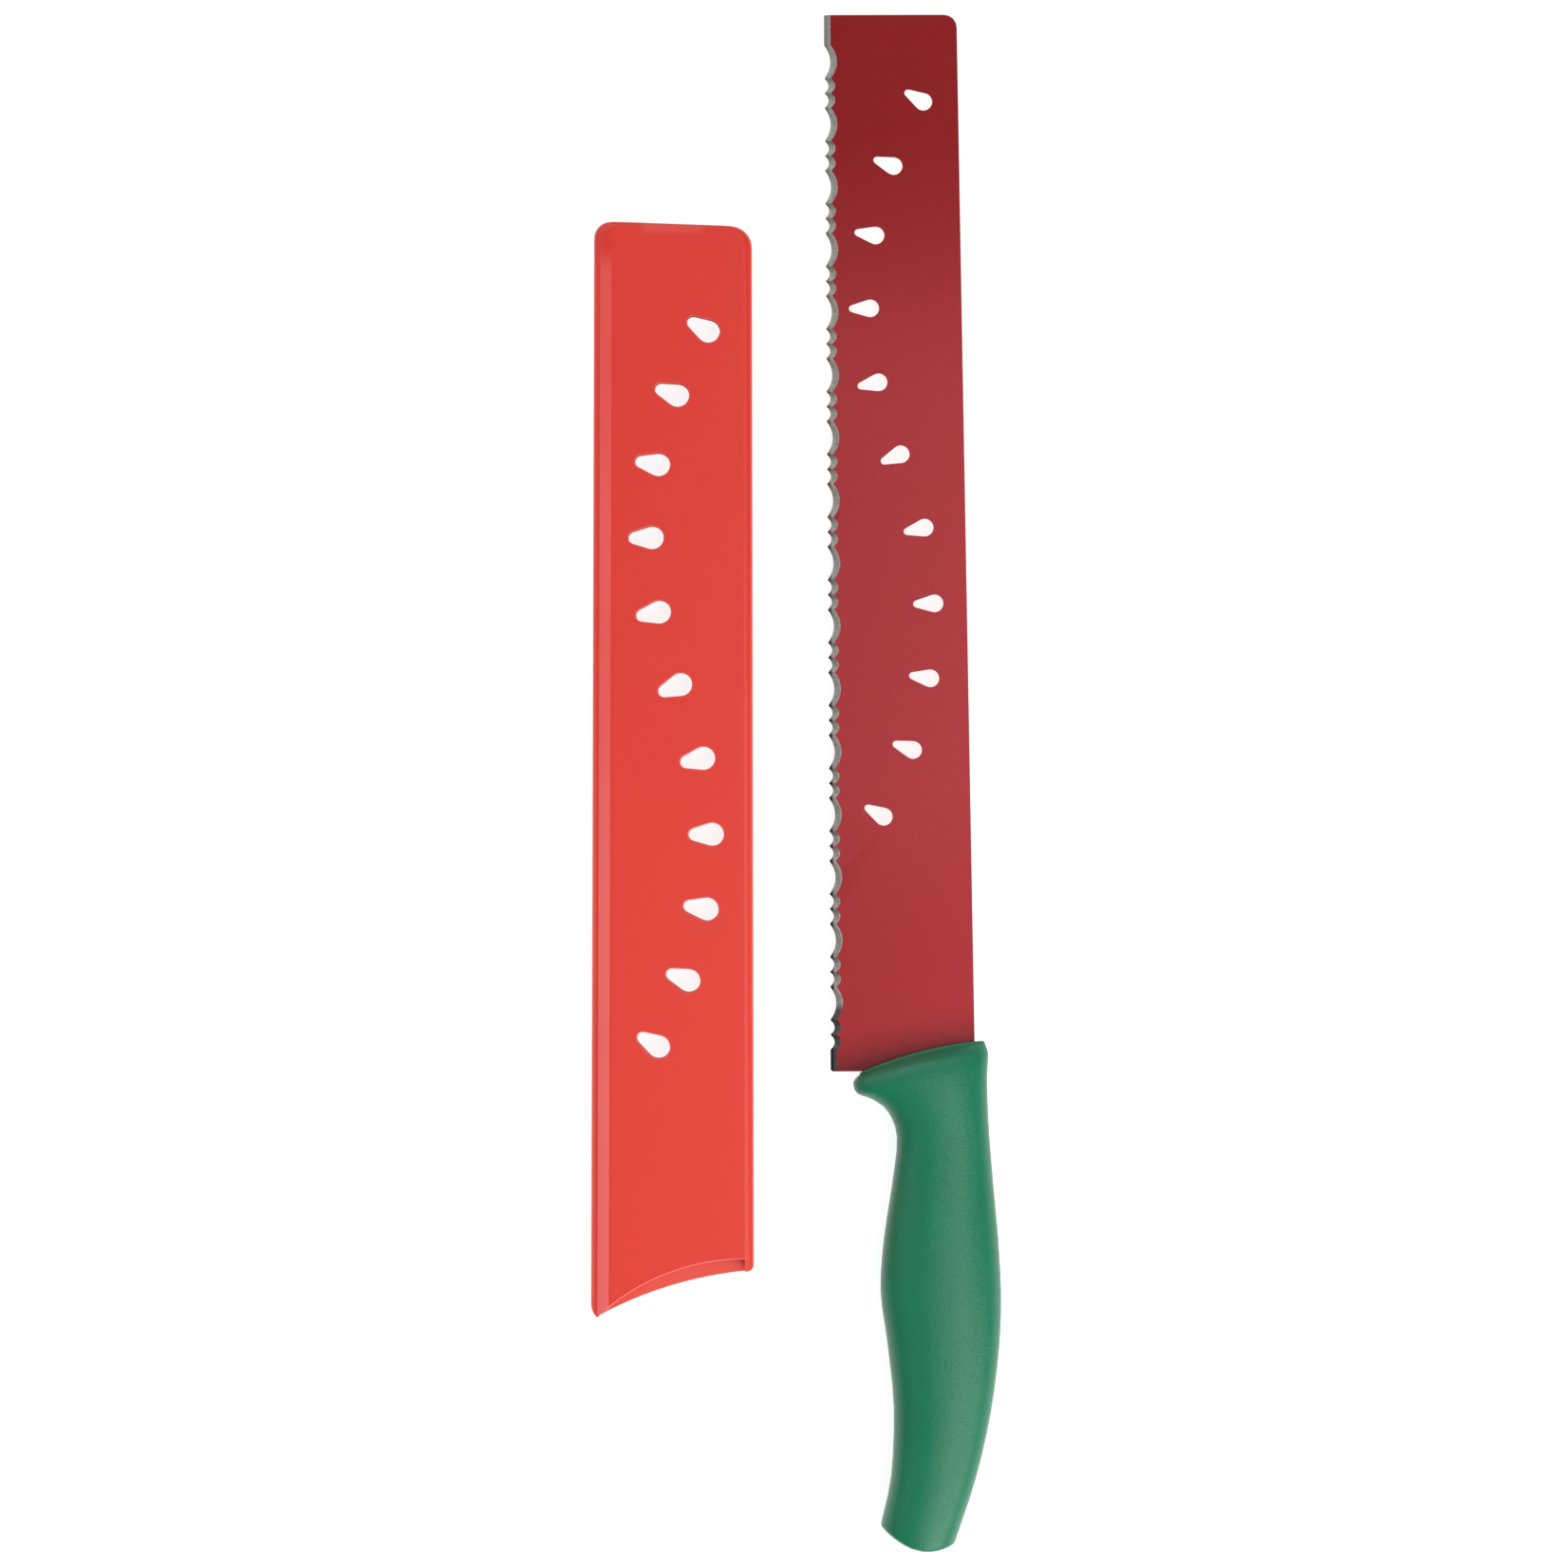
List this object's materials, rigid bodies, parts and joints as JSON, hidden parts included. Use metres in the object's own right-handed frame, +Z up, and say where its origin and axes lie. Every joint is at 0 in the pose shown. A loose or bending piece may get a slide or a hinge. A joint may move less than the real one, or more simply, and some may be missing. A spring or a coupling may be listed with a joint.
{
  "type": "serrated slicing knife with sheath",
  "caption": "Long square-ended serrated kitchen knife with drop-shaped holes through its coated blade, a moulded handle and a loose slip-on blade sheath.",
  "frame": {"origin": "centre of the bounding box in X and Y, at the surface that the knife and the sheath lie on", "axes": "+Y towards the blade's tip, +X from the cutting edge towards the spine, +Z up from the surface"},
  "size_m": [0.1082, 0.4056, 0.0203],
  "materials": {
    "coated_steel": "dark red non-stick coating, satin, with a bare ground edge",
    "handle_plastic": "green moulded plastic, fine matte texture",
    "sheath_plastic": "bright red moulded plastic, satin"
  },
  "bodies": {
    "knife": {"blade": "coated_steel", "handle": "handle_plastic"},
    "cover": {"sheath": "sheath_plastic"}
  },
  "joints": [
    {"name": "sheath_slide", "type": "slide", "parent": "knife", "child": "cover", "axis": [0, 1, 0], "range_m": [0, 0.285]}
  ]
}
